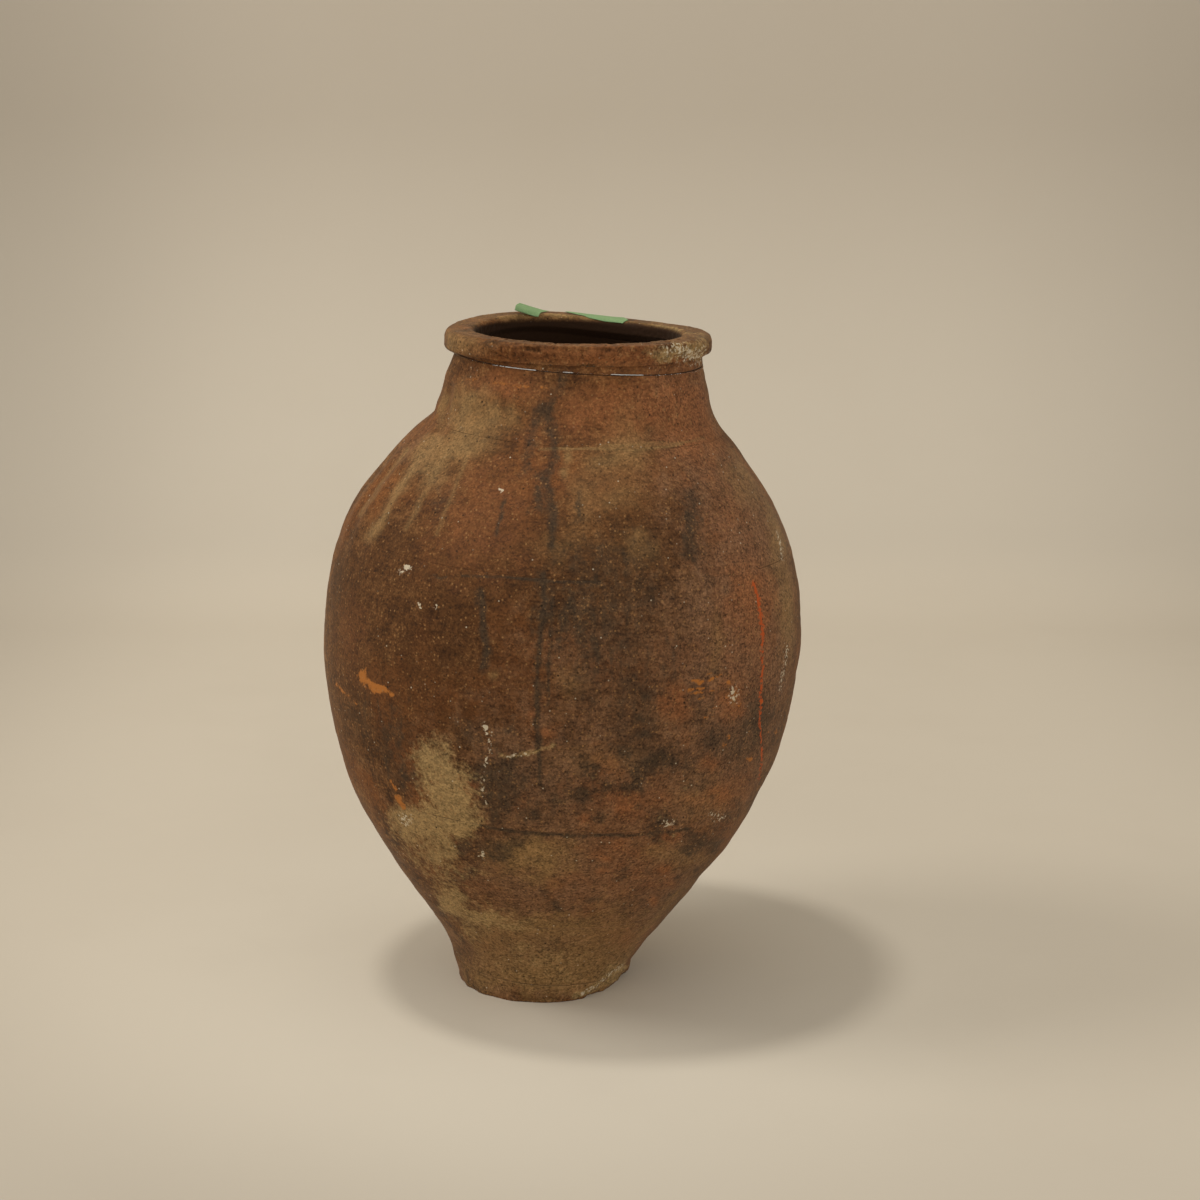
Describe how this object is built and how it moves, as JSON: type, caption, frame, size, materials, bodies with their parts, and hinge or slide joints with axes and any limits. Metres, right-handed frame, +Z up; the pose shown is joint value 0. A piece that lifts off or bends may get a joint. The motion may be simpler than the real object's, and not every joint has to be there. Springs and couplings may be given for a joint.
{
  "type": "olive jar",
  "caption": "Tall hand-built terracotta olive jar with a narrow flat foot, swelling belly, short neck and rolled rim, leaning slightly; stores olives, oil or grain.",
  "frame": {"origin": "on the ground, under the middle of the belly", "axes": "+Z up; +X the way that the jar leans; -Y out of the side that the picture shows"},
  "size_m": [0.5538, 0.553, 0.7893],
  "materials": {
    "terracotta": "unglazed, weathered, with soot and lime stains",
    "slip": "unglazed, darkened",
    "nylon": "clear",
    "green_tape": "matte creped paper"
  },
  "bodies": {
    "root": {"base_slab": "terracotta", "foot_course": "terracotta", "lower_course": "terracotta", "belly_course": "terracotta", "shoulder_course": "terracotta", "neck_course": "terracotta", "rim_roll": "terracotta", "luting_slip": "slip", "neck_line": "nylon", "label_tape_long": "green_tape", "label_tape_short": "green_tape"}
  },
  "joints": []
}
